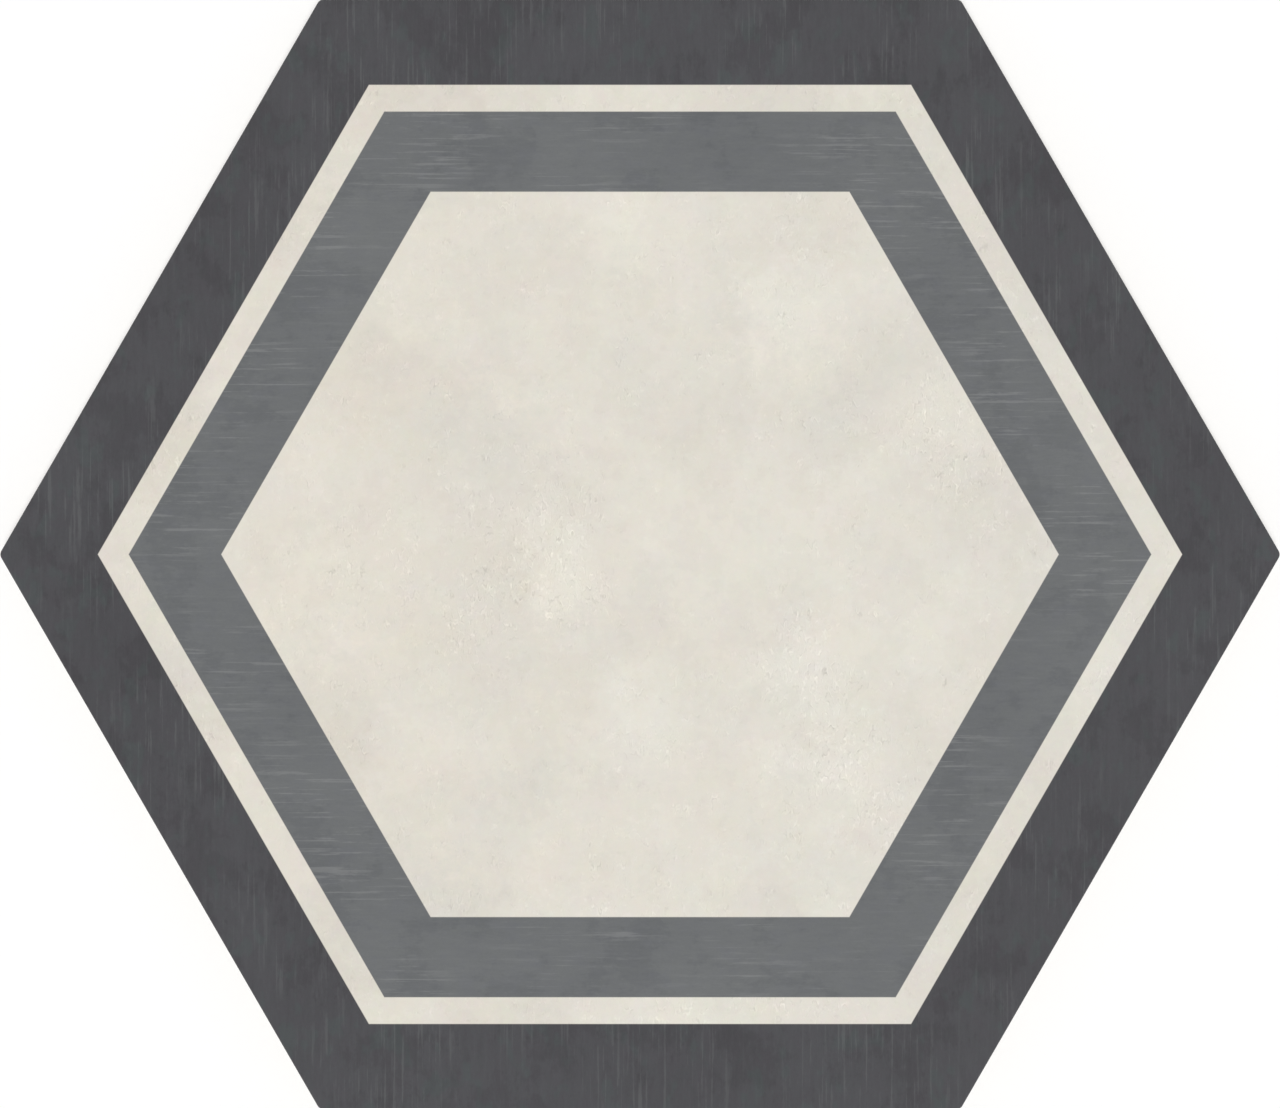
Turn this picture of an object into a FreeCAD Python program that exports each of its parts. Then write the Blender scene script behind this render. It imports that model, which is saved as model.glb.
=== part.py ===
import FreeCAD, Part
import math
import os
import Sketcher

# Hexagon floor tile: one dry-pressed and fired porcelain slab, with no separate pieces.
# Frame: the origin is the middle of the back, on the bed that the tile lies on.
# +Z runs up through the face, +X to a corner, and Y across two flats. Millimetres and degrees.

os.makedirs("parts", exist_ok=True)
doc = FreeCAD.newDocument("HexagonFloorTile")

# Driving sizes: name, value, what it measures
drivingSizes = [
    ("AcrossCorners", "200", "face, from one sharp corner to the opposite one"),
    ("Thickness", "9", "bed to face"),
    ("LandHeight", "4", "square upper part of the edge, where the grout joint is set"),
    ("SkirtDraft", "6", "slope of the edge below the land, so the slab leaves its die"),
    ("BedBevel", "0.3", "height and width of the bevel round the bed"),
    ("BedCornerRadius", "0.3", "plan radius of the corners at the bed, wider above by the bevel and draft"),
    ("ArrisRadius", "0.5", "rounded arris between the face and the edge"),
    ("RimWidth", "7.4", "flat margin round the keyed back, where the cells come nearest"),
    ("CellPitch", "19.5", "least distance between the middles of neighbouring cells in the back"),
    ("RibWidth", "2.4", "rib left between two cells, at the bed"),
    ("CellDepth", "0.7", "depth of the cells that the adhesive keys into"),
    ("CellDraft", "30", "slope of the cell walls"),
    ("CellCornerRadius", "3", "plan radius of the cell corners, at the bed"),
]
sheet = doc.addObject("Spreadsheet::Sheet", "Sizes")
for row, (name, value, meaning) in enumerate(drivingSizes, start=1):
    sheet.set(f"A{row}", name)
    sheet.set(f"B{row}", value)
    sheet.setAlias(f"B{row}", name)
    sheet.set(f"C{row}", meaning)
doc.recompute()

# Sizes worked out from the driving ones, as expressions on the sheet
apothem = "Sizes.AcrossCorners / 2 * cos(30)"
skirtHeight = "(Sizes.Thickness - Sizes.LandHeight - Sizes.BedBevel)"
skirtInset = f"({skirtHeight} * tan(Sizes.SkirtDraft))"
bedInset = f"({skirtInset} + Sizes.BedBevel)"
bedApothem = f"({apothem} - {bedInset})"
landCornerRadius = f"(Sizes.BedCornerRadius + {bedInset})"

# Whole rings of cells fill the bed inside its rim. A row of n rings and the corner of its last cell
# reach 1.5 n + 1 pitches less a rib, when the distance to the flats is multiplied by 2 cos(30).
cellSpan = f"(2 * cos(30) * ({bedApothem} - Sizes.RimWidth) + Sizes.RibWidth)"
cellRings = f"floor(({cellSpan} / Sizes.CellPitch - 1) / 1.5)"
cellPitch = f"({cellSpan} / (1.5 * {cellRings} + 1))"
cellApothem = f"({cellPitch} - Sizes.RibWidth) / 2"

wallShare = 0.9                      # most of a wall that the arris may take


def originPart(body, role):
    return next(part for part in body.Origin.OriginFeatures if part.Role == role)


def hexagonSketch(body, name, centreX, flatDistance, cornerRadius, flatsFaceX, height="0"):
    """Regular hexagon with rounded corners on the XY plane, lifted to height.

    The first side faces +X or +Y, at flatDistance from the centre. A construction circle carries
    the centres of the corner arcs, and a construction line points 120 degrees from +X.
    """
    sketch = body.newObject("Sketcher::SketchObject", name)
    sketch.AttachmentSupport = [(originPart(body, "XY_Plane"), "")]
    sketch.MapMode = "FlatFace"
    sketch.setExpression("AttachmentOffset.Base.z", height)
    centre = FreeCAD.Vector(sketch.evalExpression(centreX), 0, 0)
    apart = float(sketch.evalExpression(flatDistance))
    radius = float(sketch.evalExpression(cornerRadius))
    firstNormal = 0 if flatsFaceX else 90
    up = FreeCAD.Vector(0, 0, 1)

    def toward(degrees, distance):
        turn = math.radians(degrees)
        return FreeCAD.Vector(distance * math.cos(turn), distance * math.sin(turn), 0)

    arcCircle = (apart - radius) / math.cos(math.radians(30))
    arcCentres = [centre + toward(firstNormal + 30 + 60 * corner, arcCircle) for corner in range(6)]
    for side in range(6):
        offset = toward(firstNormal + 60 * side, radius)
        line = Part.LineSegment(arcCentres[side - 1] + offset, arcCentres[side] + offset)
        sketch.addGeometry(line, False)
    for corner in range(6):
        start = math.radians(firstNormal + 60 * corner)
        circle = Part.Circle(arcCentres[corner], up, radius)
        sketch.addGeometry(Part.ArcOfCircle(circle, start, start + math.radians(60)), False)
    guide = sketch.addGeometry(Part.Circle(centre, up, arcCircle), True)
    pointer = sketch.addGeometry(Part.LineSegment(centre, centre + toward(120, apart)), True)

    for corner in range(6):
        arc = 6 + corner
        sketch.addConstraint(Sketcher.Constraint("Tangent", corner, 2, arc, 1))
        sketch.addConstraint(Sketcher.Constraint("Tangent", arc, 2, (corner + 1) % 6, 1))
        sketch.addConstraint(Sketcher.Constraint("PointOnObject", arc, 3, guide))
        if corner:
            sketch.addConstraint(Sketcher.Constraint("Equal", 0, corner))
            sketch.addConstraint(Sketcher.Constraint("Equal", 6, arc))
    sketch.addConstraint(Sketcher.Constraint("Vertical" if flatsFaceX else "Horizontal", 0))
    sketch.addConstraint(Sketcher.Constraint("PointOnObject", guide, 3, -1))
    sketch.addConstraint(Sketcher.Constraint("Coincident", pointer, 1, guide, 3))
    sketch.addConstraint(Sketcher.Constraint("Angle", pointer, math.radians(120)))
    sketch.addConstraint(Sketcher.Constraint("PointOnObject", pointer, 2, guide))
    for constraint, text in (
        (Sketcher.Constraint("DistanceX", -1, 1, guide, 3, centre.x), centreX),
        (Sketcher.Constraint("Distance", guide, 3, 0, apart), flatDistance),
        (Sketcher.Constraint("Radius", 6, radius), cornerRadius),
    ):
        index = sketch.addConstraint(constraint)
        sketch.setExpression(f"Constraints[{index}]", text)
    return sketch


def slabLayer(body, name, base, height, inset, taper):
    """One layer of the slab, from the height base up. Its outline there lies in by inset."""
    radius = f"{landCornerRadius} - {inset}"
    outline = hexagonSketch(body, name + "Outline", "0", f"{apothem} - {inset}", radius, False, base)
    layer = body.newObject("PartDesign::Pad", name)
    layer.Profile = outline
    layer.setExpression("Length", height)
    layer.setExpression("TaperAngle", taper)
    doc.recompute()
    return layer


def cellPocket(body, name, centreX):
    """One recessed cell: its flats face +X, and its walls lean in towards its floor."""
    sketch = hexagonSketch(body, name + "Sketch", centreX, cellApothem, "Sizes.CellCornerRadius", True)
    pocket = body.newObject("PartDesign::Pocket", name)
    pocket.Profile = sketch
    pocket.Reversed = True
    pocket.setExpression("Length", "Sizes.CellDepth")
    pocket.setExpression("TaperAngle", "-Sizes.CellDraft")
    doc.recompute()
    return pocket


def linearPattern(body, name, direction, occurrences):
    pattern = body.newObject("PartDesign::LinearPattern", name)
    pattern.Direction = direction
    pattern.Mode = "Spacing"
    pattern.setExpression("Offset", cellPitch)
    pattern.setExpression("Occurrences", occurrences)
    return pattern


def hexagonTile():
    body = doc.addObject("PartDesign::Body", "HexagonTile")
    body.Label = "hexagon_tile"

    # Slab, from the bed up: a bevel, a skirt that widens by its draft, and the square land
    slabLayer(body, "Bevel", "0", "Sizes.BedBevel", bedInset, "45")
    slabLayer(body, "Skirt", "Sizes.BedBevel", skirtHeight, skirtInset, "Sizes.SkirtDraft")
    land = slabLayer(body, "Land", f"Sizes.BedBevel + {skirtHeight}", "Sizes.LandHeight", "0", "0")

    # Arris round the face, which is the highest side of the land
    face = max(land.Shape.Faces, key=lambda side: side.BoundBox.ZMin)
    faceEdges = [
        f"Edge{number}"
        for number, edge in enumerate(land.Shape.Edges, start=1)
        if any(edge.isSame(border) for border in face.Edges)
    ]
    arris = body.newObject("PartDesign::Fillet", "Arris")
    arris.Base = (land, faceEdges)
    room = f"{wallShare} * min({landCornerRadius}; Sizes.LandHeight)"
    arris.setExpression("Radius", f"min(Sizes.ArrisRadius; {room})")
    doc.recompute()

    # Keyed back: one cell in the middle, and rings of cells round it. Rows that run out along X,
    # repeated at 120 degrees to X, fill a third of the rings, and turning them twice fills the rest.
    cellPocket(body, "MiddleCell", "0")
    firstCell = cellPocket(body, "FirstCell", cellPitch)
    cellSketch = firstCell.Profile[0]
    rings = body.newObject("PartDesign::MultiTransform", "CellRings")
    rings.Originals = [firstCell]
    outwards = linearPattern(body, "Outwards", (cellSketch, ["H_Axis"]), cellRings)
    sideways = linearPattern(body, "Sideways", (cellSketch, ["Axis0"]), f"{cellRings} + 1")
    turned = body.newObject("PartDesign::PolarPattern", "Turned")
    turned.Axis = (originPart(body, "Z_Axis"), [""])
    turned.Angle = 360
    turned.Occurrences = 3
    rings.Transformations = [outwards, sideways, turned]
    rings.Refine = False             # the cells stay apart, so there are no faces to merge
    body.Tip = rings
    doc.recompute()
    return body


tile = hexagonTile()

for item in doc.Objects:
    if "Invalid" in item.State or "Error" in item.State:
        raise SystemExit(f"{item.Label} failed: {item.State}")
shape = tile.Shape
if shape.isNull() or not shape.isValid() or len(shape.Solids) != 1:
    raise SystemExit(f"{tile.Label} is not one valid solid")
shape.exportStep(f"parts/{tile.Label}.step")
box = shape.BoundBox
print(f"{tile.Label}: {box.XLength:.3f} x {box.YLength:.3f} x {box.ZLength:.3f} mm, "
      f"{shape.Volume / 1000:.2f} cm3, {len(shape.Faces)} faces")
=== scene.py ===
import math

import bpy
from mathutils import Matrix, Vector


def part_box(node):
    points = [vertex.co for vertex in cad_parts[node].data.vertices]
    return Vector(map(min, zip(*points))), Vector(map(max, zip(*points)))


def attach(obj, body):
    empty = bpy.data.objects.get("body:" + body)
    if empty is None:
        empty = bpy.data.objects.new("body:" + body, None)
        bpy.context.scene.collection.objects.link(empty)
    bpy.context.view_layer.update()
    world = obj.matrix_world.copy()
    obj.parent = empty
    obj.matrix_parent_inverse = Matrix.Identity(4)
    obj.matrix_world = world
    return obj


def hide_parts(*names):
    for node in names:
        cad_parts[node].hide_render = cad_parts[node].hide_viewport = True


# A printed hexagon floor tile that lies on its back, with the camera straight above it.
# The part's own frame: +X to a corner, Y across two flats, +Z up through the face. Sizes are written in
# millimetres, and become metres where Blender takes them.

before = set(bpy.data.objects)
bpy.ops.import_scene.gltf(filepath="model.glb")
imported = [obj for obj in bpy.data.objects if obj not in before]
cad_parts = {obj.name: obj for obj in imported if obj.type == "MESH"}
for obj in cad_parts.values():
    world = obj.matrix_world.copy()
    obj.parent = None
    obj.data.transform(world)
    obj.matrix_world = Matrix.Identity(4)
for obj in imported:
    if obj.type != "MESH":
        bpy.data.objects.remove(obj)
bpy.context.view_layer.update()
mm = 0.001
low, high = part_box("hexagon_tile")
thickness = (high.z - low.z) / mm
apothem = (high.y - low.y) / 2 / mm                    # middle to a flat
sideLength = apothem / math.cos(math.radians(30))      # also the middle to a sharp corner
print(f"frame loaded: tile {2 * sideLength:.1f} mm across its corners, {thickness:.1f} mm thick")


# An sRGB hex colour, as the linear values that a shader takes
def linearColour(hexColour):
    levels = [int(hexColour[place:place + 2], 16) / 255 for place in (1, 3, 5)]
    return [v / 12.92 if v <= 0.04045 else ((v + 0.055) / 1.055) ** 2.4 for v in levels] + [1]


# Sets a socket to a value, or links it to an output or to a node's first output
def setInput(tree, socket, value):
    if isinstance(value, bpy.types.Node):
        value = next(s for s in value.outputs if s.enabled and not s.is_unavailable)
    if isinstance(value, bpy.types.NodeSocket):
        tree.links.new(value, socket)
    else:
        socket.default_value = value


# Adds one node: its settings by name, and its inputs in their order as a list, or by name
def addNode(tree, kind, inputs=(), **settings):
    node = tree.nodes.new(kind)
    for name, value in settings.items():
        setattr(node, name, value)
    free = [s for s in node.inputs if s.enabled and not s.is_unavailable]
    if isinstance(inputs, dict):
        for name, value in inputs.items():
            setInput(tree, next(s for s in free if s.name == name), value)
    else:
        for socket, value in zip(free, inputs):
            setInput(tree, socket, value)
    return node


def newMaterial(name):
    material = bpy.data.materials.new(name)
    material.use_nodes = True
    material.node_tree.nodes.clear()
    return material, material.node_tree


# Object coordinates in millimetres
def millimetres(tree):
    place = addNode(tree, "ShaderNodeTexCoord").outputs["Object"]
    return addNode(tree, "ShaderNodeVectorMath", [place, 1 / mm], operation="SCALE")


noiseSpread = 0.22                                     # most of the noise lies this near to 0.5
seedShift = (17.3, -9.1, 5.7)                          # features that each seed moves the noise along


# Noise drawn out to a feature size in millimetres, set to run from about -1 to 1. A size with two numbers is
# for a print, which is the same all the way down.
def noiseAt(tree, place, seed, size, detail, roughness):
    flat = len(size) == 2
    fineness = [1 / width for width in size] + [1.0] * flat
    shift = [seed * step for step in seedShift]
    moved = addNode(tree, "ShaderNodeVectorMath", [place, fineness, shift], operation="MULTIPLY_ADD")
    noise = addNode(tree, "ShaderNodeTexNoise", {
        "Vector": moved, "Scale": 1.0, "Detail": detail, "Roughness": roughness,
    }, noise_dimensions="2D" if flat else "3D")
    return addNode(tree, "ShaderNodeMath", [
        noise.outputs[0], 1 / noiseSpread, -0.5 / noiseSpread], operation="MULTIPLY_ADD")


# Sum of numbers, each times its own weight
def weightedSum(tree, terms, start=0.0):
    total = start
    for value, weight in terms:
        total = addNode(tree, "ShaderNodeMath", [value, weight, total], operation="MULTIPLY_ADD")
    return total


# How near a point is to a place on the face: 1 close to it, and 0 well outside its reach. The fade is the
# value at the place itself, which is cut to 1, and how much of that is lost by the end of the reach.
def nearness(tree, place, middle, reach, fade):
    away = addNode(tree, "ShaderNodeVectorMath", [place, (*middle, thickness)], operation="DISTANCE")
    most, lost = fade
    return addNode(tree, "ShaderNodeMath", [
        away.outputs["Value"], -lost / reach, most], operation="MULTIPLY_ADD", use_clamp=True)


# Printed face: bands between nested hexagons. Each reaches out to this distance from the middle to a flat.
bands = {
    "field": 0.6531 * apothem,
    "slate": 0.7975 * apothem,
    "line": 0.8456 * apothem,
    "edgeBlur": 0.08,                                  # half the width of a printed edge
}

# Inks: the darker and lighter colour that a print runs between, the tinge that comes and goes in it, the
# colour of its stray splashes, and the colour where single hairs of the brush left it thin, with how thin
inks = {
    "charcoal": {
        "dark": "#464548", "light": "#4e4e51", "tinge": "#50464f", "splash": "#4a5c58",
        "thin": "#6a6c6c", "thinness": 0.30,
    },
    "slate": {
        "dark": "#66686a", "light": "#6f7172", "tinge": "#696972", "splash": "#6c6e74",
        "thin": "#919292", "thinness": 0.33,
    },
}

# Marks of the brush. Its layers have a size across and along it in millimetres, detail, roughness, and how
# strongly they show in the ink's tone, which is 0 where they only place something else. An edge is where a
# mark begins and where it is whole, in its layer's values. The charcoal is brushed along Y, and the slate
# along X.
brushwork = {
    "seed": 3,
    "layers": {
        "cloud": ((11.0, 12.0), 5.0, 0.68, 0.14),      # where the ink lies thicker
        "stroke": ((1.1, 5.0), 3.0, 0.80, 0.23),
        "hair": ((0.80, 32.0), 2.0, 0.87, 0.05),       # lines of single hairs
        "bundle": ((8.0, 14.0), 1.0, 0.60, 0.0),       # where the brush ran dry
        "grain": ((0.40, 0.50), 1.0, 0.60, 0.08),      # grain of the glaze under the ink
        "splash": ((4.2, 7.0), 2.0, 0.70, 0.0),
        "wash": ((26.0, 34.0), 1.0, 0.60, 0.22),       # how thick the ink is from one side to another
        "tinge": ((3.0, 4.0), 3.0, 0.85, 0.0),
    },
    "tone": 0.29,                                      # from 0, the darker colour, to 1, the lighter one
    "patchTone": 0.36,                                 # how much lighter it is in patches
    "patchEdge": (-0.46, 0.00),                        # of these, in the cloud
    "patchStroke": 0.20,                               # how far strokes break up their borders
    "tingeWeight": 0.095,
    "splashEdge": (0.30, 0.80), "splashWeight": 0.16,
    "slateHair": 1.20,                                 # how many times shorter a hair line is on the slate
    "hairEdge": (0.26, 0.90),
    "hairBreak": 0.32,                                 # how ragged the strokes make the hair lines
    "dryEdge": (-0.20, 1.00),
    "anyBundle": 0.60,                                 # how dry it may be away from the dry places
    "nearFade": (1.5, 1.2),                            # of the dry places
}

# Places where the brush ran dry and left hair lines: x, y and reach in millimetres, and how dry. The first
# ones lie on the charcoal, and the others on the slate.
dryPlaces = [
    (-44, 78, 11, 1.0), (-24, 81, 9, 1.0), (-8, 80, 7, 0.6), (19, 80, 6, 0.9), (38, 80, 8, 0.5),
    (56, 57, 10, 0.6), (71, 41, 12, 0.7), (-62, 52, 12, 0.7), (-85, 4, 12, 1.0), (-76, -28, 13, 0.8),
    (-56, -56, 11, 0.5), (-36, -80, 14, 0.9), (2, -80, 14, 0.6), (36, -79, 13, 1.0), (64, -46, 12, 0.7),
    (86, -6, 13, 0.7),
    (-53, 46, 12, 1.0), (-62, 27, 10, 1.0), (-70, 8, 10, 0.7), (-63, -15, 9, 0.6), (-46, -39, 12, 1.0),
    (-34, 64, 11, 0.8), (-4, 63, 11, 0.6), (38, 58, 13, 0.9), (44, 50, 8, 0.7), (53, 34, 9, 0.6),
    (60, 26, 9, 0.4), (66, 2, 12, 1.0), (46, -36, 12, 0.9), (-8, -62, 16, 0.4),
]

# Pale glaze of the field and the line: cloudy, warmer to the left and cooler to the right. Its layers have a
# size in millimetres, detail, roughness, and how strongly they show.
paleGlaze = {
    "warm": "#ecdcc6", "cool": "#d5dde0", "mauve": "#e5d2d5", "green": "#dde5c9",
    "seed": 41,
    "layers": {
        "cloud": ((24.0, 24.0), 5.0, 0.74, 0.07),
        "warmth": ((11.0, 11.0), 5.0, 0.95, 0.13),     # from cool to warm
        "blush": ((10.0, 10.0), 5.0, 0.98, 0.18),      # from green to mauve
        "fleck": ((2.2, 2.2), 3.0, 0.78, 0.048),
        # the scuffs are real marks; their dark and light sides are painted shade and painted highlight of a
        # relief
        "scuffAndPaintedShading": ((0.9, 2.0), 1.0, 0.50, 4.0),         # fine curved strokes, with a dark and a light side
        "rubbed": ((5.0, 5.0), 3.0, 0.75, 0.70),       # where these lie close together
    },
    "scuffEdge": 0.50,                                 # how far out from a stroke's middle line it shows
    "rubbedEdge": (-0.30, 1.00),
    "rubbedFleck": 0.043,                              # how much more the flecks show there
    "toneSteps": (-0.62, -0.12, 0.42),                 # where the cloud breaks into four tones
    "toneBlur": 0.10, "toneFleck": 0.10,               # how soft a step is, and how far flecks fray it
    "tone": 0.05,                                      # from each tone to the next
    "depth": 0.33,                                     # share of its brightness that lightness can change
    "patchLight": 0.165, "patchWarm": 0.08,
    "nearFade": (1.6, 1.4),                            # of the patches
    "ragged": 5.0,                                     # millimetres that a patch's border wanders
    "drift": 0.0007,                                   # how much warmer for each millimetre to the left
    "lineGain": 1.4,                                   # mauve and green show more strongly on the thin line
    "lightCooler": 0.07, "lightGreener": 0.10,         # how the light places are tinted
}

# Places in the pale glaze where it is lighter or darker, warmer or cooler than the rest, or scuffed:
# x, y and reach in millimetres, then lightness, warmth and scuffs. The last ones lie on the line.
palePatches = [
    (-25, 15, 13, -0.9, -0.6, 0.1), (-40, 27, 12, -0.8, 0.8, 0.0), (14, 30, 9, -0.4, -0.5, 0.0),
    (31, 20, 9, -0.8, -0.4, 0.2), (39, 30, 9, -0.3, -0.5, 0.0), (54, 7, 10, -0.5, -0.4, 0.2),
    (-13, -4, 8, 1.1, 0.2, 1.2), (-13, 6, 7, 0.0, 0.0, 1.0), (-22, 0, 8, -0.3, 0.6, 0.7),
    (-27, -10, 8, -0.1, 0.1, 1.0), (49, 19, 10, -0.3, 0.0, 1.1), (26, -17, 9, 0.8, -0.6, 1.1),
    (31, -31, 9, 0.8, -0.5, 1.1), (40, -43, 8, 0.1, -0.2, 0.8), (1, -27, 10, 0.5, -0.5, 0.3),
    (24, 40, 10, 1.0, -0.2, 0.2), (12, 3, 15, 0.4, 0.0, -0.3), (-48, -26, 11, -0.8, 0.5, 0.2),
    (-29, -54, 9, -1.0, -0.8, 0.2), (-22, -42, 8, -0.4, -0.4, 0.0), (30, -52, 10, 0.5, -0.5, 0.0),
    (-45, -3, 12, 0.5, 0.8, 0.3), (-2, 52, 9, 0.6, 0.0, 0.0), (28, 53, 9, -0.5, 0.0, 0.3),
    (-73, 16, 11, -1.1, 0.3, 0.3), (-53, 50, 8, -1.0, 0.4, 0.3), (-32, 72, 14, -1.0, 0.4, 0.2),
    (22, 72, 16, -1.1, 0.0, 0.2), (74, -14, 12, 0.1, -0.4, 0.2), (-46, -62, 9, -0.8, -0.2, 0.2),
    (-71, -19, 13, -1.1, -0.6, 0.2), (60, 41, 14, -0.8, -0.3, 0.2), (8, -72, 28, 0.3, -0.3, 0.3),
]

# Skin of the fired glaze: a soft unevenness, with its seed, size in millimetres, detail and roughness
glazeSkin = {
    "unevenness": (81, (1.4, 1.4), 1.0, 0.6),
    "height": 0.01, "strength": 0.5,
    "darkRoughness": 0.64, "lightRoughness": 0.54,
}


# Distance from the middle of the tile to a flat of the hexagon that passes through a point
def hexagonDistance(tree, place):
    reach = None
    for turn in (90, 30, -30):
        normal = (math.cos(math.radians(turn)), math.sin(math.radians(turn)), 0)
        along = addNode(tree, "ShaderNodeVectorMath", [place, normal], operation="DOT_PRODUCT")
        apart = addNode(tree, "ShaderNodeMath", [along.outputs["Value"]], operation="ABSOLUTE")
        if reach is None:
            reach = apart
        else:
            reach = addNode(tree, "ShaderNodeMath", [reach, apart], operation="MAXIMUM")
    return reach


# Lines that single hairs left where the brush ran dry: 1 on a line, and 0 beside it
def hairLines(tree, place, layer):
    dry = weightedSum(tree, [(layer["bundle"], brushwork["anyBundle"])])
    for x, y, reach, strength in dryPlaces:
        near = nearness(tree, place, (x, y), reach, brushwork["nearFade"])
        dry = weightedSum(tree, [(near, strength)], dry)
    hairs = weightedSum(tree, [(layer["stroke"], brushwork["hairBreak"])], layer["hair"])
    lines, dried = [
        addNode(tree, "ShaderNodeMapRange", [value, *brushwork[edge]], interpolation_type="SMOOTHSTEP")
        for value, edge in ((hairs, "hairEdge"), (dry, "dryEdge"))
    ]
    return addNode(tree, "ShaderNodeMath", [lines, dried], operation="MULTIPLY")


# Brushed print, as its colour and its tone. Both inks are drawn by one set of marks, which is turned for the
# slate, where onSlate is 1.
def brushedInk(tree, place, onSlate):
    here = {}
    for name, value in inks["charcoal"].items():
        pair, kind = (value, inks["slate"][name]), "FLOAT"
        if isinstance(value, str):
            pair, kind = [linearColour(colour) for colour in pair], "RGBA"
        here[name] = addNode(tree, "ShaderNodeMix", [onSlate, *pair], data_type=kind)
    spot = addNode(tree, "ShaderNodeSeparateXYZ", [place]).outputs
    across = addNode(tree, "ShaderNodeMix", [onSlate, spot["X"], spot["Y"]])
    along = addNode(tree, "ShaderNodeMix", [onSlate, spot["Y"], spot["X"]])
    brushed = addNode(tree, "ShaderNodeCombineXYZ", [across, along])
    shorter = addNode(tree, "ShaderNodeMix", [onSlate, 1.0, brushwork["slateHair"]])
    alongHair = addNode(tree, "ShaderNodeMath", [along, shorter], operation="MULTIPLY")
    combed = addNode(tree, "ShaderNodeCombineXYZ", [across, alongHair])
    layer, terms = {}, []
    for name, (size, detail, roughness, weight) in brushwork["layers"].items():
        spread = combed if name == "hair" else brushed
        layer[name] = noiseAt(tree, spread, brushwork["seed"] + len(layer), size, detail, roughness)
        if weight:
            terms.append((layer[name], weight))
    broken = weightedSum(tree, [(layer["stroke"], brushwork["patchStroke"])], layer["cloud"])
    patch = addNode(tree, "ShaderNodeMapRange", [
        broken, *brushwork["patchEdge"]], interpolation_type="SMOOTHSTEP")
    tone = weightedSum(tree, terms + [(patch, brushwork["patchTone"])], brushwork["tone"])
    colour = addNode(tree, "ShaderNodeMix", [
        tone, here["dark"], here["light"]], data_type="RGBA", clamp_factor=False)
    splashes = addNode(tree, "ShaderNodeMapRange", [
        layer["splash"], *brushwork["splashEdge"]], interpolation_type="SMOOTHSTEP")
    for name, where in (("tinge", layer["tinge"]), ("splash", splashes)):
        shown = addNode(tree, "ShaderNodeMath", [where, brushwork[name + "Weight"]], operation="MULTIPLY")
        colour = addNode(tree, "ShaderNodeMix", [
            shown, colour, here[name]], data_type="RGBA", clamp_factor=False)
    streaks = hairLines(tree, place, layer)
    thinned = addNode(tree, "ShaderNodeMath", [streaks, here["thinness"]], operation="MULTIPLY")
    return addNode(tree, "ShaderNodeMix", [thinned, colour, here["thin"]], data_type="RGBA"), tone


# Lightness, warmth and scuffing that the patches give, with ragged borders. They start from the darkest
# tone, halfway between cool and warm.
def patchedPlaces(tree, place, layer):
    push = addNode(tree, "ShaderNodeCombineXYZ", [layer["cloud"], layer["warmth"]])
    wander = (paleGlaze["ragged"], paleGlaze["ragged"], 0)
    strayed = addNode(tree, "ShaderNodeVectorMath", [push, wander, place], operation="MULTIPLY_ADD")
    patches = (-len(paleGlaze["toneSteps"]) / 2 * paleGlaze["tone"], 0.5, 0)
    for x, y, reach, lighter, warmer, scuffs in palePatches:
        near = nearness(tree, strayed, (x, y), reach, paleGlaze["nearFade"])
        change = (lighter * paleGlaze["patchLight"], warmer * paleGlaze["patchWarm"], scuffs)
        patches = addNode(tree, "ShaderNodeVectorMath", [near, change, patches], operation="MULTIPLY_ADD")
    return addNode(tree, "ShaderNodeSeparateXYZ", [patches]).outputs


# Lightness with its flecks, which show everywhere, and its scuffs, which show where the glaze is rubbed. The
# scuffs are real marks, but the dark side and the light side of each are painted shade and painted
# highlight, as their relief would take them from the light.
def scuffedLightAndPaintedShading(tree, layer, weight, scuffed, light):
    worn = weightedSum(tree, [(layer["rubbed"], weight["rubbed"])], scuffed)
    rubbed = addNode(tree, "ShaderNodeMapRange", [
        worn, *paleGlaze["rubbedEdge"]], interpolation_type="SMOOTHSTEP")
    flecked = weightedSum(tree, [(rubbed, paleGlaze["rubbedFleck"])], weight["fleck"])
    light = weightedSum(tree, [(layer["fleck"], flecked)], light)
    fromStroke = addNode(tree, "ShaderNodeMath", [layer["scuffAndPaintedShading"]], operation="ABSOLUTE")
    shown = addNode(tree, "ShaderNodeMath", [
        fromStroke, -1 / paleGlaze["scuffEdge"], 1.0], operation="MULTIPLY_ADD", use_clamp=True)
    # each stroke gets a painted shaded side and a painted highlit side, of opposite sign across its middle
    # line
    for factor in (layer["scuffAndPaintedShading"], layer["fleck"], rubbed):
        shown = addNode(tree, "ShaderNodeMath", [shown, factor], operation="MULTIPLY")
    return weightedSum(tree, [(shown, weight["scuffAndPaintedShading"])], light)
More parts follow.
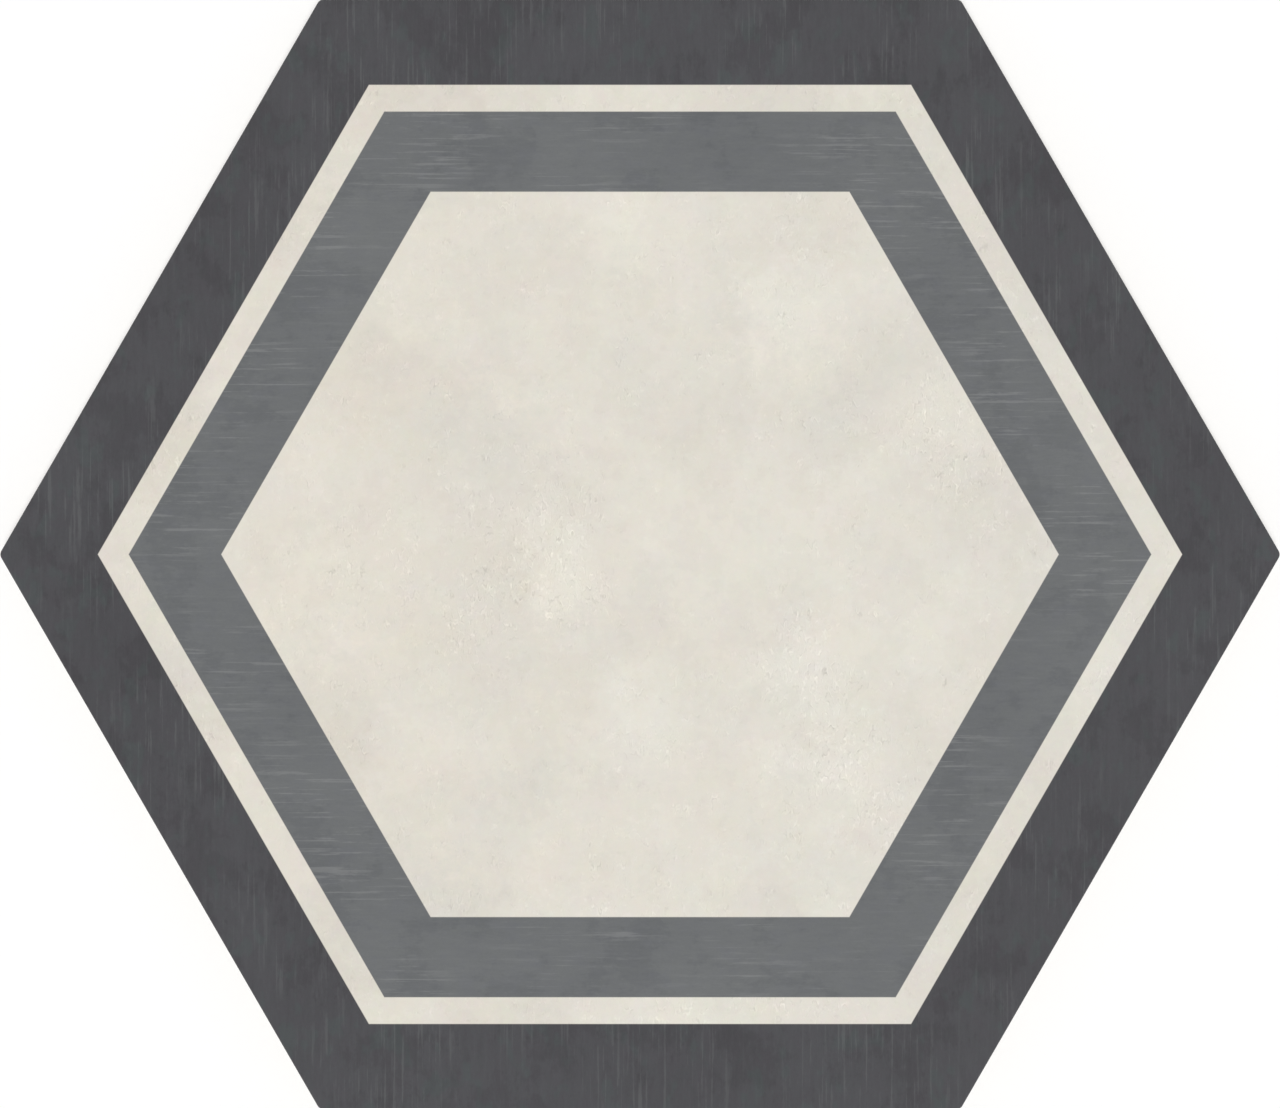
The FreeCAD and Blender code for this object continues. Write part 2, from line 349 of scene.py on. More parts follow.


# Pale mottled glaze, as its colour and its tone: a cloud that breaks into tones, patches placed one by one,
# tints that come and go, and small dark and light scuffs. On the thin line onLine is 1.
def mottledGlaze(tree, place, onLine):
    layer, weight = {}, {}
    for name, (size, detail, roughness, strength) in paleGlaze["layers"].items():
        layer[name] = noiseAt(tree, place, paleGlaze["seed"] + len(layer), size, detail, roughness)
        weight[name] = strength
    light, warm, scuffed = patchedPlaces(tree, place, layer)
    tones = weightedSum(tree, [(layer["fleck"], paleGlaze["toneFleck"])], layer["cloud"])
    for step in paleGlaze["toneSteps"]:
        ends = (step - paleGlaze["toneBlur"], step + paleGlaze["toneBlur"])
        past = addNode(tree, "ShaderNodeMapRange", [tones, *ends], interpolation_type="SMOOTHSTEP")
        light = weightedSum(tree, [(past, paleGlaze["tone"])], light)
    light = weightedSum(tree, [(layer["cloud"], weight["cloud"])], light)
    spot = addNode(tree, "ShaderNodeSeparateXYZ", [place]).outputs
    warm = weightedSum(tree, [
        (layer["warmth"], weight["warmth"]),
        (spot["X"], -paleGlaze["drift"]),
        (light, -paleGlaze["lightCooler"]),
    ], warm)
    gain = addNode(tree, "ShaderNodeMix", [
        onLine, weight["blush"], weight["blush"] * paleGlaze["lineGain"]])
    blush = weightedSum(tree, [(layer["blush"], gain), (light, -paleGlaze["lightGreener"])], 0.5)
    # the scuffs add painted shade and painted highlight, one on each side of a stroke, to the glaze's
    # lightness
    light = scuffedLightAndPaintedShading(tree, layer, weight, scuffed, light)
    tints = [
        addNode(tree, "ShaderNodeMix", [
            share, linearColour(paleGlaze[one]), linearColour(paleGlaze[other])], data_type="RGBA")
        for share, one, other in ((warm, "cool", "warm"), (blush, "green", "mauve"))
    ]
    tinted = addNode(tree, "ShaderNodeMix", [0.5, *tints], data_type="RGBA")
    brightness = weightedSum(tree, [(light, paleGlaze["depth"])], 1.0)
    colour = addNode(tree, "ShaderNodeVectorMath", [tinted, brightness], operation="SCALE")
    return colour, weightedSum(tree, [(light, 1.0)], 0.5)


# Matt printed glaze, ink on a white base glaze, fired in: all colour and little shine
def printedMattGlaze():
    material, tree = newMaterial("printedMattGlaze")
    place = millimetres(tree)
    distance = hexagonDistance(tree, place)
    betweenInks = (bands["slate"] + bands["line"]) / 2
    onSlate = addNode(tree, "ShaderNodeMath", [distance, betweenInks], operation="LESS_THAN")
    ink, inkTone = brushedInk(tree, place, onSlate)
    onLine = addNode(tree, "ShaderNodeMath", [distance, bands["field"]], operation="GREATER_THAN")
    pale, paleTone = mottledGlaze(tree, place, onLine)
    inked = None
    for border, sign in (("field", 1), ("slate", -1), ("line", 1)):
        blur = sign * bands["edgeBlur"]
        past = addNode(tree, "ShaderNodeMapRange", [
            distance, bands[border] - blur, bands[border] + blur], interpolation_type="SMOOTHSTEP")
        if inked is None:
            inked = past
        else:
            kept = "MULTIPLY" if sign < 0 else "MAXIMUM"
            inked = addNode(tree, "ShaderNodeMath", [inked, past], operation=kept)
    skin = noiseAt(tree, place, *glazeSkin["unevenness"])
    bump = addNode(tree, "ShaderNodeBump", {
        "Height": skin, "Strength": glazeSkin["strength"], "Distance": glazeSkin["height"] * mm})
    shaders = []
    for colour, tone in ((pale, paleTone), (ink, inkTone)):
        roughness = addNode(tree, "ShaderNodeMapRange", [
            tone, 0.0, 1.0, glazeSkin["darkRoughness"], glazeSkin["lightRoughness"]])
        shaders.append(addNode(tree, "ShaderNodeBsdfPrincipled", {
            "Base Color": colour, "Roughness": roughness, "Normal": bump,
            "IOR": 1.5, "Specular IOR Level": 0.3,
        }))
    printed = addNode(tree, "ShaderNodeMixShader", [inked, *shaders])
    addNode(tree, "ShaderNodeOutputMaterial", {"Surface": printed})
    return material


# Bare porcelain stoneware body: pale grey-beige, with fine dark grains. Layers here, on the edge and on the
# back have a size in millimetres, detail and roughness, and some a seed of their own before these. The real
# grit is finer than it is drawn, and wouldn't show.
body = {
    "paste": "#cbc4b6", "shade": "#bdb5a6", "grain": "#8d857a",
    "cloud": ((5.0, 5.0, 3.0), 3.0, 0.65), "cloudWeight": 0.30,
    "grains": ((0.5, 0.5, 0.5), 1.0, 0.5), "grainEdge": (0.9, 1.6), "grainWeight": 0.55,
    "gritHeight": 0.03, "gritStrength": 0.8,
}


def porcelainBody(tree, place, seed):
    cloud = noiseAt(tree, place, seed, *body["cloud"])
    share = weightedSum(tree, [(cloud, body["cloudWeight"])], 0.5)
    paste = addNode(tree, "ShaderNodeMix", [
        share, linearColour(body["shade"]), linearColour(body["paste"])], data_type="RGBA")
    grains = noiseAt(tree, place, seed + 1, *body["grains"])
    dark = addNode(tree, "ShaderNodeMapRange", [grains, *body["grainEdge"]], interpolation_type="SMOOTHSTEP")
    seen = weightedSum(tree, [(dark, body["grainWeight"])])
    return addNode(tree, "ShaderNodeMix", [seen, paste, linearColour(body["grain"])], data_type="RGBA")


# Edge: press marks in the body, and the lines where glaze and ink end
pressedEdge = {
    "seed": 71,
    "dust": "#dcd7cc", "ink": "#4a494d",
    "glazeLine": 0.90,                                 # how far the white base glaze runs down the edge
    "inkLine": 0.60,                                   # how far the printed colour does
    "lineBlur": 0.05, "lineWander": 0.10,
    "stray": (93, (1.3, 1.3, 1.3), 2.0, 0.6),          # how the lines wander
    "scrape": (91, (0.5, 0.5, 6.0), 2.0, 0.6),         # press marks
    "scrapeEdge": (0.3, 1.4),
    "grit": (92, (0.35, 0.35, 0.35), 2.0, 0.7),
    "roughness": 0.82,
}


# Pressed and fired stoneware edge: chalky and bare, with faint press marks down the draft. At its top the
# ink and the base glaze below it run out in a ragged line.
def pressedPorcelainEdge():
    material, tree = newMaterial("pressedPorcelainEdge")
    place = millimetres(tree)
    colour = porcelainBody(tree, place, pressedEdge["seed"])
    scrape = noiseAt(tree, place, *pressedEdge["scrape"])
    scraped = addNode(tree, "ShaderNodeMapRange", [
        scrape, *pressedEdge["scrapeEdge"]], interpolation_type="SMOOTHSTEP")
    colour = addNode(tree, "ShaderNodeMix", [
        scraped, colour, linearColour(pressedEdge["dust"])], data_type="RGBA")
    height = addNode(tree, "ShaderNodeSeparateXYZ", [place]).outputs["Z"]
    stray = noiseAt(tree, place, *pressedEdge["stray"])
    ragged = weightedSum(tree, [(stray, pressedEdge["lineWander"])], height)
    for line, above in (("glazeLine", "dust"), ("inkLine", "ink")):
        middle = thickness - pressedEdge[line]
        ends = (middle - pressedEdge["lineBlur"], middle + pressedEdge["lineBlur"])
        covered = addNode(tree, "ShaderNodeMapRange", [ragged, *ends], interpolation_type="SMOOTHSTEP")
        colour = addNode(tree, "ShaderNodeMix", [
            covered, colour, linearColour(pressedEdge[above])], data_type="RGBA")
    grit = noiseAt(tree, place, *pressedEdge["grit"])
    relief = weightedSum(tree, [(grit, 0.5), (scrape, 0.5)])
    bump = addNode(tree, "ShaderNodeBump", {
        "Height": relief, "Strength": body["gritStrength"], "Distance": body["gritHeight"] * mm})
    shader = addNode(tree, "ShaderNodeBsdfPrincipled", {
        "Base Color": colour, "Roughness": pressedEdge["roughness"], "Normal": bump,
        "IOR": 1.5, "Specular IOR Level": 0.25,
    })
    addNode(tree, "ShaderNodeOutputMaterial", {"Surface": shader})
    return material


# Back: white wash on the ribs, with places where it is rubbed off
washedBack = {
    "seed": 101,
    "wash": "#e4e1d9",
    "washReach": (0.25, 0.02),                         # heights above the bed where it begins and is whole
    "rubbed": (103, (3.0, 9.0, 3.0), 4.0, 0.7), "rubbedEdge": (-0.7, 0.9),
    "grit": (104, (0.4, 0.4, 0.4), 2.0, 0.7),
    "roughness": 0.86,
}


# Keyed back: bare fired body, with white kiln wash rubbed onto its ribs
def washedPorcelainBack():
    material, tree = newMaterial("washedPorcelainBack")
    place = millimetres(tree)
    colour = porcelainBody(tree, place, washedBack["seed"])
    height = addNode(tree, "ShaderNodeSeparateXYZ", [place]).outputs["Z"]
    rubbed = noiseAt(tree, place, *washedBack["rubbed"])
    onRibs, patchy = [
        addNode(tree, "ShaderNodeMapRange", [value, *washedBack[edge]], interpolation_type="SMOOTHSTEP")
        for value, edge in ((height, "washReach"), (rubbed, "rubbedEdge"))
    ]
    washed = addNode(tree, "ShaderNodeMath", [onRibs, patchy], operation="MULTIPLY")
    colour = addNode(tree, "ShaderNodeMix", [
        washed, colour, linearColour(washedBack["wash"])], data_type="RGBA")
    grit = noiseAt(tree, place, *washedBack["grit"])
    bump = addNode(tree, "ShaderNodeBump", {
        "Height": grit, "Strength": body["gritStrength"], "Distance": body["gritHeight"] * mm})
    shader = addNode(tree, "ShaderNodeBsdfPrincipled", {
        "Base Color": colour, "Roughness": washedBack["roughness"], "Normal": bump,
        "IOR": 1.5, "Specular IOR Level": 0.25,
    })
    addNode(tree, "ShaderNodeOutputMaterial", {"Surface": shader})
    return material


glazeMaterial = printedMattGlaze()
edgeMaterial = pressedPorcelainEdge()
backMaterial = washedPorcelainBack()
print("materials made")

# Pressed slab
slab = {
    "cornerRadius": 1.12,                              # plan radius of the corners, at the land
    "arrisRadius": 0.5,
    "landHeight": 4.0,                                 # square upper part of the edge
    "footRounding": 0.6,                               # where the land meets the skirt
    "skirtDraft": 6.0,                                 # degrees that the edge below the land leans in
    "bedBevel": 0.3,
    "bevelRounding": 0.12,
    "rimWidth": 7.4,                                   # flat margin round the cells of the back
    "ribWidth": 2.4,
    "cellRings": 4,
    "cellDepth": 0.7,
    "cellDraft": 30.0,
    "cellCornerRadius": 3.0,
    "lipRadius": 0.3,                                  # a pressed back's cells have soft lips and floors
    "floorRadius": 0.35,
    "holdingLoop": 0.12,                               # ring of flat faces that keeps a rounding crisp
    "cornerSteps": 12, "arrisSteps": 6, "cellCornerSteps": 5, "lipSteps": 4,       # faces along a rounding
    "weldDistance": 0.002,
}

# Places of the surface on the square map that it keeps as OFBake, in that map's pixels
bakeMap = {
    "side": 1024.0,
    "facePixelsPerMm": 4.17, "faceMiddle": (424.0, 655.0),
    "edgePixelsPerMm": 4.1, "edgeMiddle": 214.0, "edgeFirst": 6.0, "edgeStep": 47.0,
    "backPixelsPerMm": 1.66, "backMiddle": (612.0, 147.0),
}


# Line through the corners of a section, each given as its inset, its height and its rounding. It is turned
# half round, because a sweep takes a section's x as outwards and its y as down.
def sectionLine(tree, corners, steps):
    line = addNode(tree, "GeometryNodeMeshLine", {"Count": len(corners)})
    index = addNode(tree, "GeometryNodeInputIndex")
    place = addNode(tree, "GeometryNodeIndexSwitch", data_type="VECTOR")
    rounding = addNode(tree, "GeometryNodeIndexSwitch", data_type="FLOAT")
    for choice in (place, rounding):
        while len(choice.index_switch_items) < len(corners):
            choice.index_switch_items.new()
        tree.links.new(index.outputs[0], choice.inputs[0])
    for number, (inset, height, radius) in enumerate(corners, start=1):
        setInput(tree, place.inputs[number], addNode(tree, "ShaderNodeCombineXYZ", [inset, height]))
        setInput(tree, rounding.inputs[number], radius)
    placed = addNode(tree, "GeometryNodeSetPosition", {"Geometry": line, "Position": place})
    curve = addNode(tree, "GeometryNodeMeshToCurve", {"Mesh": placed})
    rounded = addNode(tree, "GeometryNodeFilletCurve", {
        "Curve": curve, "Count": steps, "Radius": rounding, "Limit Radius": True,
    }, mode="POLY")
    length = addNode(tree, "GeometryNodeSplineParameter").outputs["Length"]
    kept = addNode(tree, "GeometryNodeStoreNamedAttribute", {
        "Geometry": rounded, "Name": "alongSection", "Value": length,
    }, data_type="FLOAT", domain="POINT")
    return addNode(tree, "GeometryNodeTransform", {"Geometry": kept, "Rotation": (0, 0, math.pi)})


# Hexagon of a given distance to its flats, with rounded corners, turned by an angle about Z
def roundedHexagon(tree, flatDistance, radius, steps, turn=0.0):
    reach = addNode(tree, "ShaderNodeMath", [flatDistance, math.cos(math.radians(30))], operation="DIVIDE")
    circle = addNode(tree, "GeometryNodeCurvePrimitiveCircle", {"Resolution": 6, "Radius": reach})
    turned = addNode(tree, "GeometryNodeTransform", {
        "Geometry": circle, "Rotation": (0, 0, math.radians(turn))})
    corners = addNode(tree, "GeometryNodeFilletCurve", {
        "Curve": turned, "Count": steps, "Radius": radius, "Limit Radius": True,
    }, mode="POLY")
    return addNode(tree, "GeometryNodeSetCurveNormal", {"Curve": corners}, mode="Z_UP")


# Flat sheet over the open borders of a mesh that lie above or below a height, set at a height of its own
def borderSheet(tree, mesh, compare, split, level, fill, flip):
    neighbours = addNode(tree, "GeometryNodeInputMeshEdgeNeighbors")
    onBorder = addNode(tree, "FunctionNodeCompare", [neighbours, 1], data_type="INT", operation="EQUAL")
    place = addNode(tree, "GeometryNodeInputPosition")
    height = addNode(tree, "ShaderNodeSeparateXYZ", [place]).outputs["Z"]
    chosen = addNode(tree, "FunctionNodeCompare", [height, split], data_type="FLOAT", operation=compare)
    border = addNode(tree, "FunctionNodeBooleanMath", [onBorder, chosen], operation="AND")
    loops = addNode(tree, "GeometryNodeMeshToCurve", {"Mesh": mesh, "Selection": border})
    sheet = addNode(tree, "GeometryNodeFillCurve", {"Curve": loops}, mode=fill)
    lift = addNode(tree, "ShaderNodeCombineXYZ", {"Z": level})
    lifted = addNode(tree, "GeometryNodeTransform", {"Geometry": sheet, "Translation": lift})
    return addNode(tree, "GeometryNodeFlipFaces", {"Mesh": lifted}) if flip else lifted


# Part of the surface, smoothly shaded and laid on the square map at a place in the map's pixels
def laidOnMap(tree, mesh, across, up):
    smooth = addNode(tree, "GeometryNodeSetShadeSmooth", {"Geometry": mesh})
    mapped = addNode(tree, "ShaderNodeCombineXYZ", [across, up])
    scaled = addNode(tree, "ShaderNodeVectorMath", [mapped, 1 / bakeMap["side"]], operation="SCALE")
    return addNode(tree, "GeometryNodeStoreNamedAttribute", {
        "Geometry": smooth, "Name": "OFBake", "Value": scaled,
    }, data_type="FLOAT2", domain="CORNER")


# Edge of the slab, from the bed up over the arris: it is swept round the hexagon
def sweptEdge(tree, given):
    rail = roundedHexagon(tree, given["Flat Distance"], given["Corner Radius"], slab["cornerSteps"])
    section = sectionLine(tree, [
        (given["Bed Loop Inset"], 0, 0),
        (given["Bed Inset"], 0, given["Bevel Rounding"]),
        (given["Skirt Inset"], given["Bevel Height"], given["Bevel Rounding"]),
        (0, given["Land Foot"], given["Foot Rounding"]),
        (0, given["Arris Loop Height"], 0),
        (0, given["Thickness"], given["Arris Radius"]),
        (given["Face Loop Inset"], given["Thickness"], 0),
    ], slab["arrisSteps"])
    swept = addNode(tree, "GeometryNodeCurveToMesh", {"Curve": rail, "Profile Curve": section})
    return addNode(tree, "GeometryNodeFlipFaces", {"Mesh": swept})


# One cell of the back: a wall swept round a hexagon that is turned by 30 degrees, and a floor filled in
def backCell(tree, given):
    flatToFlat = addNode(tree, "ShaderNodeMath", [
        given["Cell Pitch"], given["Rib Width"]], operation="SUBTRACT")
    flatDistance = addNode(tree, "ShaderNodeMath", [flatToFlat, 2], operation="DIVIDE")
    rail = roundedHexagon(tree, flatDistance, given["Cell Corner Radius"], slab["cellCornerSteps"], turn=30)
    section = sectionLine(tree, [
        (given["Lip Loop Inset"], 0, 0),
        (0, 0, given["Lip Radius"]),
        (given["Wall Inset"], given["Cell Depth"], given["Floor Radius"]),
        (given["Floor Loop Inset"], given["Cell Depth"], 0),
    ], slab["lipSteps"])
    wall = addNode(tree, "GeometryNodeCurveToMesh", {"Curve": rail, "Profile Curve": section})
    halfDepth = addNode(tree, "ShaderNodeMath", [given["Cell Depth"], 2], operation="DIVIDE")
    floor = borderSheet(tree, wall, "GREATER_THAN", halfDepth, given["Cell Depth"], "NGONS", True)
    cell = addNode(tree, "GeometryNodeJoinGeometry")
    for part in (wall, floor):
        setInput(tree, cell.inputs[0], part)
    return cell


# Honeycomb of cells: a square grid, cut to a hexagon and leaned over until its rows stand at 60 degrees
def honeycomb(tree, given, spot, cell):
    rings, pitch = given["Cell Rings"], given["Cell Pitch"]
    perRow = addNode(tree, "ShaderNodeMath", [rings, 2, 1], operation="MULTIPLY_ADD")
    gaps = addNode(tree, "ShaderNodeMath", [rings, 2], operation="MULTIPLY")
    rowLength = addNode(tree, "ShaderNodeMath", [pitch, gaps], operation="MULTIPLY")
    grid = addNode(tree, "GeometryNodeMeshGrid", [rowLength, rowLength, perRow, perRow])
    slant = addNode(tree, "ShaderNodeMath", [spot["X"], spot["Y"]])
    outThere = addNode(tree, "ShaderNodeMath", [slant], operation="ABSOLUTE")
    pastRings = addNode(tree, "ShaderNodeMath", [rings, 0.5])
    lastRing = addNode(tree, "ShaderNodeMath", [pastRings, pitch], operation="MULTIPLY")
    beyond = addNode(tree, "FunctionNodeCompare", [outThere, lastRing], operation="GREATER_THAN")
    hexagonOfPoints = addNode(tree, "GeometryNodeDeleteGeometry", {"Geometry": grid, "Selection": beyond})
    leanX = addNode(tree, "ShaderNodeMath", [spot["Y"], 0.5, spot["X"]], operation="MULTIPLY_ADD")
    leanY = addNode(tree, "ShaderNodeMath", [spot["Y"], math.sin(math.radians(60))], operation="MULTIPLY")
    lean = addNode(tree, "ShaderNodeCombineXYZ", [leanX, leanY])
    middles = addNode(tree, "GeometryNodeSetPosition", {"Geometry": hexagonOfPoints, "Position": lean})
    placed = addNode(tree, "GeometryNodeInstanceOnPoints", {"Points": middles, "Instance": cell})
    return addNode(tree, "GeometryNodeRealizeInstances", {"Geometry": placed})


# Places on the map, across and up. The face and the back are seen straight on, and the edge is six strips,
# one for each side of the tile.
def mapPlaces(tree, place, spot):
    maps = {}
    for region, sign in (("face", 1), ("back", -1)):
        scale, middle = bakeMap[region + "PixelsPerMm"], bakeMap[region + "Middle"]
        maps[region] = [
            addNode(tree, "ShaderNodeMath", [spot[axis], size, start], operation="MULTIPLY_ADD")
            for axis, size, start in (("X", sign * scale, middle[0]), ("Y", scale, middle[1]))
        ]
    ofFace = addNode(tree, "GeometryNodeFieldOnDomain", [place], data_type="FLOAT_VECTOR", domain="FACE")
    faceSpot = addNode(tree, "ShaderNodeSeparateXYZ", [ofFace]).outputs
    bearing = addNode(tree, "ShaderNodeMath", [faceSpot["Y"], faceSpot["X"]], operation="ARCTAN2")
    sixths = addNode(tree, "ShaderNodeMath", [bearing, math.pi / 3], operation="DIVIDE")
    sideNumber = addNode(tree, "ShaderNodeMath", [sixths], operation="FLOOR")
    sideTurn = addNode(tree, "ShaderNodeMath", [
        sideNumber, math.pi / 3, math.pi / 6], operation="MULTIPLY_ADD")
    unturn = addNode(tree, "ShaderNodeMath", [sideTurn, -1], operation="MULTIPLY")
    facing = addNode(tree, "ShaderNodeVectorRotate", {
        "Vector": place, "Axis": (0, 0, 1), "Angle": unturn}, rotation_type="AXIS_ANGLE")
    alongSide = addNode(tree, "ShaderNodeSeparateXYZ", [facing]).outputs["Y"]
    firstStrip = bakeMap["edgeFirst"] + 3 * bakeMap["edgeStep"]        # the side numbers run from -3 to 2
    strip = addNode(tree, "ShaderNodeMath", [
        sideNumber, bakeMap["edgeStep"], firstStrip], operation="MULTIPLY_ADD")
    upEdge = addNode(tree, "GeometryNodeInputNamedAttribute", ["alongSection"], data_type="FLOAT")
    maps["edge"] = [
        addNode(tree, "ShaderNodeMath", [
            distance, bakeMap["edgePixelsPerMm"], start], operation="MULTIPLY_ADD")
        for distance, start in ((alongSide, bakeMap["edgeMiddle"]), (upEdge, strip))
    ]
    return maps


# The tile in millimetres, scaled to metres at the end
def pressedTileTree(sizes):
    tree = bpy.data.node_groups.new("pressedTile", "GeometryNodeTree")
    for name, value in sizes.items():
        kind = "NodeSocketInt" if isinstance(value, int) else "NodeSocketFloat"
        tree.interface.new_socket(name, in_out="INPUT", socket_type=kind)
    tree.interface.new_socket("Geometry", in_out="OUTPUT", socket_type="NodeSocketGeometry")
    given = addNode(tree, "NodeGroupInput").outputs
    place = addNode(tree, "GeometryNodeInputPosition")
    spot = addNode(tree, "ShaderNodeSeparateXYZ", [place]).outputs
    edge = sweptEdge(tree, given)
    cells = honeycomb(tree, given, spot, backCell(tree, given))

    # Flat of the face, and the rim and ribs of the back between the edge and the lips of the cells
    halfWay = addNode(tree, "ShaderNodeMath", [given["Thickness"], 2], operation="DIVIDE")
    face = borderSheet(tree, edge, "GREATER_THAN", halfWay, given["Thickness"], "NGONS", False)
    underside = addNode(tree, "GeometryNodeJoinGeometry")
    for part in (edge, cells):
        setInput(tree, underside.inputs[0], part)
    nearBed = addNode(tree, "ShaderNodeMath", [given["Cell Depth"], 4], operation="DIVIDE")
    ribs = borderSheet(tree, underside, "LESS_THAN", nearBed, 0, "TRIANGLES", True)
    back = addNode(tree, "GeometryNodeJoinGeometry")
    for part in (cells, ribs):
        setInput(tree, back.inputs[0], part)

    # The whole surface, closed and in metres, with its finishes
    maps = mapPlaces(tree, place, spot)
    onBack = addNode(tree, "GeometryNodeStoreNamedAttribute", {
        "Geometry": laidOnMap(tree, back, *maps["back"]), "Name": "onBack", "Value": True,
    }, data_type="BOOLEAN", domain="FACE")
    whole = addNode(tree, "GeometryNodeJoinGeometry")
    for part in (laidOnMap(tree, edge, *maps["edge"]), laidOnMap(tree, face, *maps["face"]), onBack):
        setInput(tree, whole.inputs[0], part)
    closed = addNode(tree, "GeometryNodeMergeByDistance", {
        "Geometry": whole, "Distance": slab["weldDistance"]})
    arrisFoot = addNode(tree, "ShaderNodeMath", [
        given["Thickness"], given["Arris Radius"]], operation="SUBTRACT")
    glazed = addNode(tree, "FunctionNodeCompare", [
        spot["Z"], arrisFoot], data_type="FLOAT", operation="GREATER_THAN")
    kept = addNode(tree, "GeometryNodeStoreNamedAttribute", {
        "Geometry": closed, "Name": "glazed", "Value": glazed}, data_type="BOOLEAN", domain="FACE")
    metres = addNode(tree, "GeometryNodeTransform", {"Geometry": kept, "Scale": (mm, mm, mm)})
    finished = addNode(tree, "GeometryNodeRealizeInstances", {"Geometry": metres})
    finished = addNode(tree, "GeometryNodeSetMaterial", {"Geometry": finished, "Material": edgeMaterial})
    for name, material in (("onBack", backMaterial), ("glazed", glazeMaterial)):
        there = addNode(tree, "GeometryNodeInputNamedAttribute", [name], data_type="BOOLEAN")
        finished = addNode(tree, "GeometryNodeSetMaterial", {
            "Geometry": finished, "Selection": there, "Material": material})
    addNode(tree, "NodeGroupOutput", [finished])
    return tree


def pressedTile():
    landFoot = thickness - slab["landHeight"]
    skirtInset = (landFoot - slab["bedBevel"]) * math.tan(math.radians(slab["skirtDraft"]))
    bedInset = skirtInset + slab["bedBevel"]
    cellSpan = 2 * math.cos(math.radians(30)) * (apothem - bedInset - slab["rimWidth"]) + slab["ribWidth"]
    lean = math.radians(90 - slab["cellDraft"])        # turn between the bed and a cell's wall
    wallInset = slab["cellDepth"] * math.tan(math.radians(slab["cellDraft"]))
    loop = slab["holdingLoop"]
    sizes = {
        "Flat Distance": apothem,
        "Thickness": thickness,
        "Corner Radius": slab["cornerRadius"],
        "Arris Radius": slab["arrisRadius"],
        "Face Loop Inset": slab["arrisRadius"] + loop,
        "Arris Loop Height": thickness - slab["arrisRadius"] - loop,
        "Land Foot": landFoot,
        "Foot Rounding": slab["footRounding"],
        "Skirt Inset": skirtInset,
        "Bevel Height": slab["bedBevel"],
        "Bevel Rounding": slab["bevelRounding"],
        "Bed Inset": bedInset,
        "Bed Loop Inset": bedInset + 2 * loop,
        "Cell Rings": slab["cellRings"],
        "Cell Pitch": cellSpan / (1.5 * slab["cellRings"] + 1),
        "Rib Width": slab["ribWidth"],
        "Cell Depth": slab["cellDepth"],
        "Cell Corner Radius": slab["cellCornerRadius"],
        "Wall Inset": wallInset,
        "Lip Radius": slab["lipRadius"],
        "Lip Loop Inset": -slab["lipRadius"] * math.tan(lean / 2) - loop,
        "Floor Radius": slab["floorRadius"],
        "Floor Loop Inset": wallInset + slab["floorRadius"] * math.tan(lean / 2) + loop,
    }
    tree = pressedTileTree(sizes)
    tile = bpy.data.objects.new("hexagonTile", bpy.data.meshes.new("hexagonTile"))
    bpy.context.scene.collection.objects.link(tile)
    modifier = tile.modifiers.new("pressedTile", "NODES")
    modifier.node_group = tree
    for socket in tree.interface.items_tree:
        if socket.in_out == "INPUT":
            modifier[socket.identifier] = sizes[socket.name]
    bpy.context.view_layer.update()
    evaluated = tile.evaluated_get(bpy.context.evaluated_depsgraph_get())
    tile.data = bpy.data.meshes.new_from_object(evaluated)
    tile.modifiers.clear()
    for name in ("alongSection", "onBack", "glazed"):
        tile.data.attributes.remove(tile.data.attributes[name])
    if tile.data.materials[0] is None:
        tile.data.materials.pop(index=0)
    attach(tile, "root")
    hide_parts("hexagon_tile")
    return tile


tile = pressedTile()
print(f"tile made: {len(tile.data.vertices)} vertices, {len(tile.data.polygons)} faces")

# Studio: white floor and surroundings, one soft key from above, and even light from all round.
# White paper that faces up gets exactly the light that renders it white, so colours come out as written.
studio = {
    "keyShare": 0.60, "keyTilt": 9.0, "keyHeading": 0.0, "keyAngle": 14.0,
    "glossyLevel": 0.75,                               # brightness that the glaze mirrors
    "floorWhite": 0.88,
    "floorSeen": 1.01,                                 # a touch past white, so that no grey haze shows
    "floorHalfWidth": 4000.0, "floorDrop": 0.02,
}
ambientShare = 1 - studio["keyShare"]


def whiteFloor():
    half = studio["floorHalfWidth"] * mm
    mesh = bpy.data.meshes.new("whiteFloor")
    corners = [(-half, -half), (half, -half), (half, half), (-half, half)]
    mesh.from_pydata([(x, y, -studio["floorDrop"] * mm) for x, y in corners], [], [(0, 1, 2, 3)])
    floor = bpy.data.objects.new("whiteFloor", mesh)
    bpy.context.scene.collection.objects.link(floor)
    material, tree = newMaterial("whiteFloor")
    material.cycles.emission_sampling = "NONE"         # the floor's own glow is for the eye, not a lamp
    ray = addNode(tree, "ShaderNodeLightPath").outputs
    seen = addNode(tree, "ShaderNodeMath", [ray["Is Camera Ray"], ray["Is Glossy Ray"]], operation="MAXIMUM")
    level = studio["floorWhite"]
    lift = addNode(tree, "ShaderNodeMath", [seen, studio["floorSeen"] - level], operation="MULTIPLY")
    paper = addNode(tree, "ShaderNodeBsdfDiffuse", {"Color": (level, level, level, 1)})
    glow = addNode(tree, "ShaderNodeEmission", {"Strength": lift})
    both = addNode(tree, "ShaderNodeAddShader", [paper, glow])
    addNode(tree, "ShaderNodeOutputMaterial", {"Surface": both})
    mesh.materials.append(material)


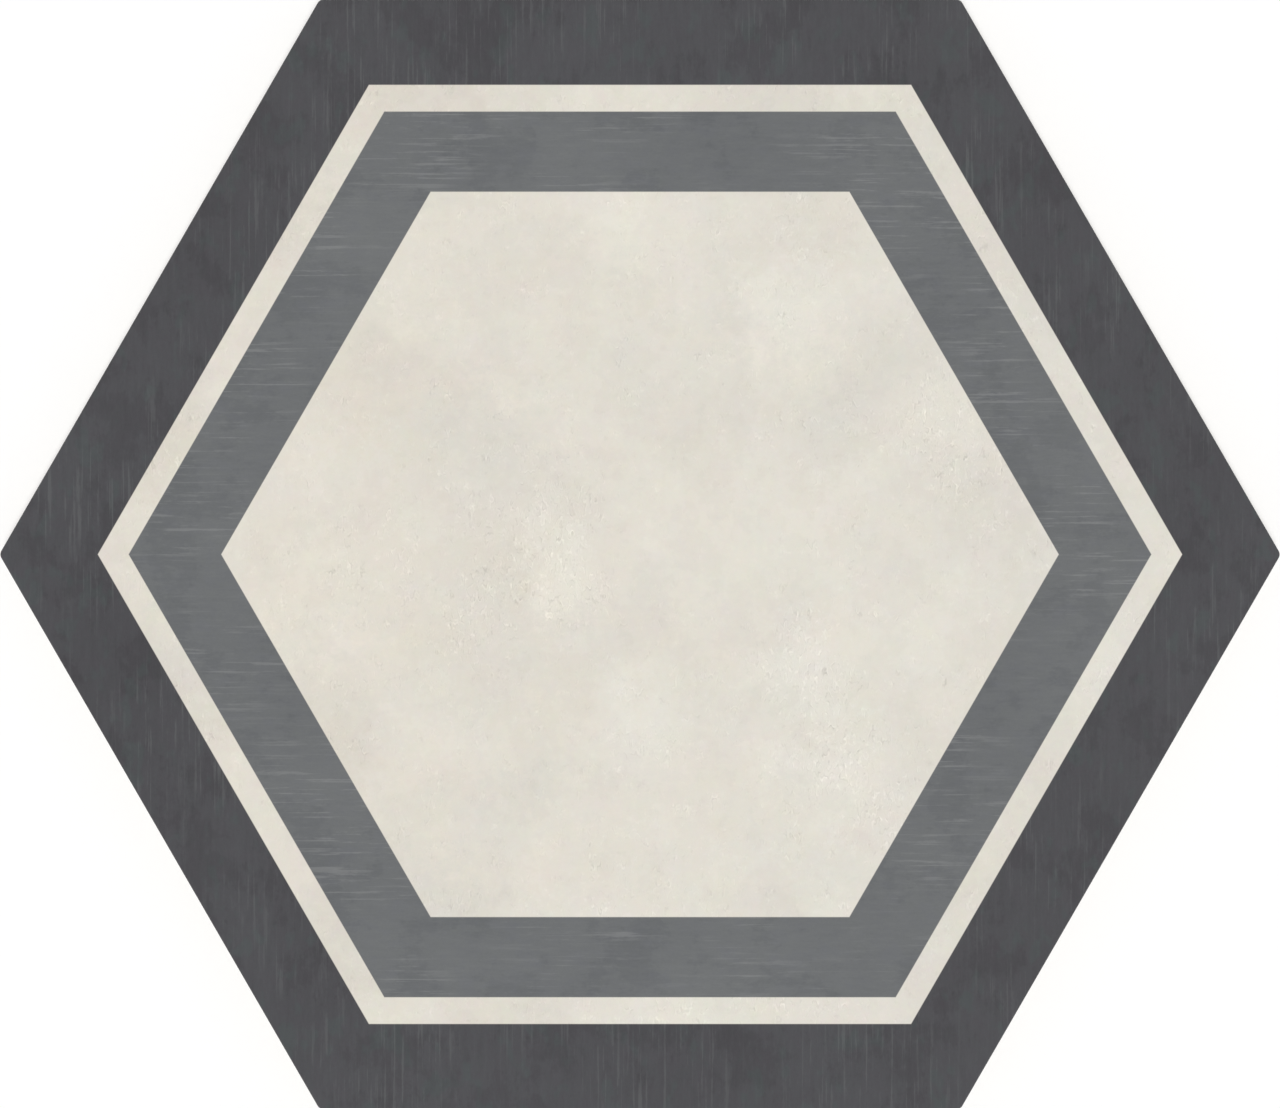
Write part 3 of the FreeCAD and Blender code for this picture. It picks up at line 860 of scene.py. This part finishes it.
def studioLight():
    world = bpy.data.worlds.new("studio")
    bpy.context.scene.world = world
    world.use_nodes = True
    tree = world.node_tree
    tree.nodes.clear()
    ray = addNode(tree, "ShaderNodeLightPath").outputs
    strength = weightedSum(tree, [
        (ray["Is Camera Ray"], 1 - ambientShare),
        (ray["Is Glossy Ray"], studio["glossyLevel"] - ambientShare),
    ], ambientShare)
    light = addNode(tree, "ShaderNodeBackground", {"Color": (1, 1, 1, 1), "Strength": strength})
    addNode(tree, "ShaderNodeOutputWorld", {"Surface": light})

    tilt = math.radians(studio["keyTilt"])
    lamp = bpy.data.lights.new("keyLight", "SUN")
    lamp.energy = studio["keyShare"] * math.pi / math.cos(tilt)
    lamp.angle = math.radians(studio["keyAngle"])
    key = bpy.data.objects.new("keyLight", lamp)
    key.rotation_euler = (tilt, 0, math.radians(studio["keyHeading"]))
    key.visible_glossy = False                         # a softbox's glare would lift the dark bands
    bpy.context.scene.collection.objects.link(key)


# Camera straight above, where the photograph was taken from. The photograph's frame is 1280 x 1108 pixels,
# and the tile's sharp corners would lie 1282.4 pixels apart in it.
photo = {"width": 1280, "height": 1108, "cornerToCorner": 1282.4, "middleX": 640.0, "middleY": 554.4}
lens = {"length": 135.0, "sensor": 36.0, "nearest": 10.0, "farthest": 10000.0}


def overheadCamera():
    pixel = 2 * sideLength / photo["cornerToCorner"]
    distance = photo["width"] * pixel * lens["length"] / lens["sensor"]
    data = bpy.data.cameras.new("overhead")
    data.lens = lens["length"]
    data.sensor_width = lens["sensor"]
    data.clip_start = lens["nearest"] * mm
    data.clip_end = lens["farthest"] * mm
    camera = bpy.data.objects.new("overhead", data)
    camera.location = Vector((
        (photo["width"] / 2 - photo["middleX"]) * pixel,
        (photo["middleY"] - photo["height"] / 2) * pixel,
        thickness + distance,
    )) * mm
    bpy.context.scene.collection.objects.link(camera)
    bpy.context.scene.camera = camera


whiteFloor()
studioLight()
overheadCamera()
bpy.context.scene.view_settings.view_transform = "Standard"
print("floor, light and camera set")
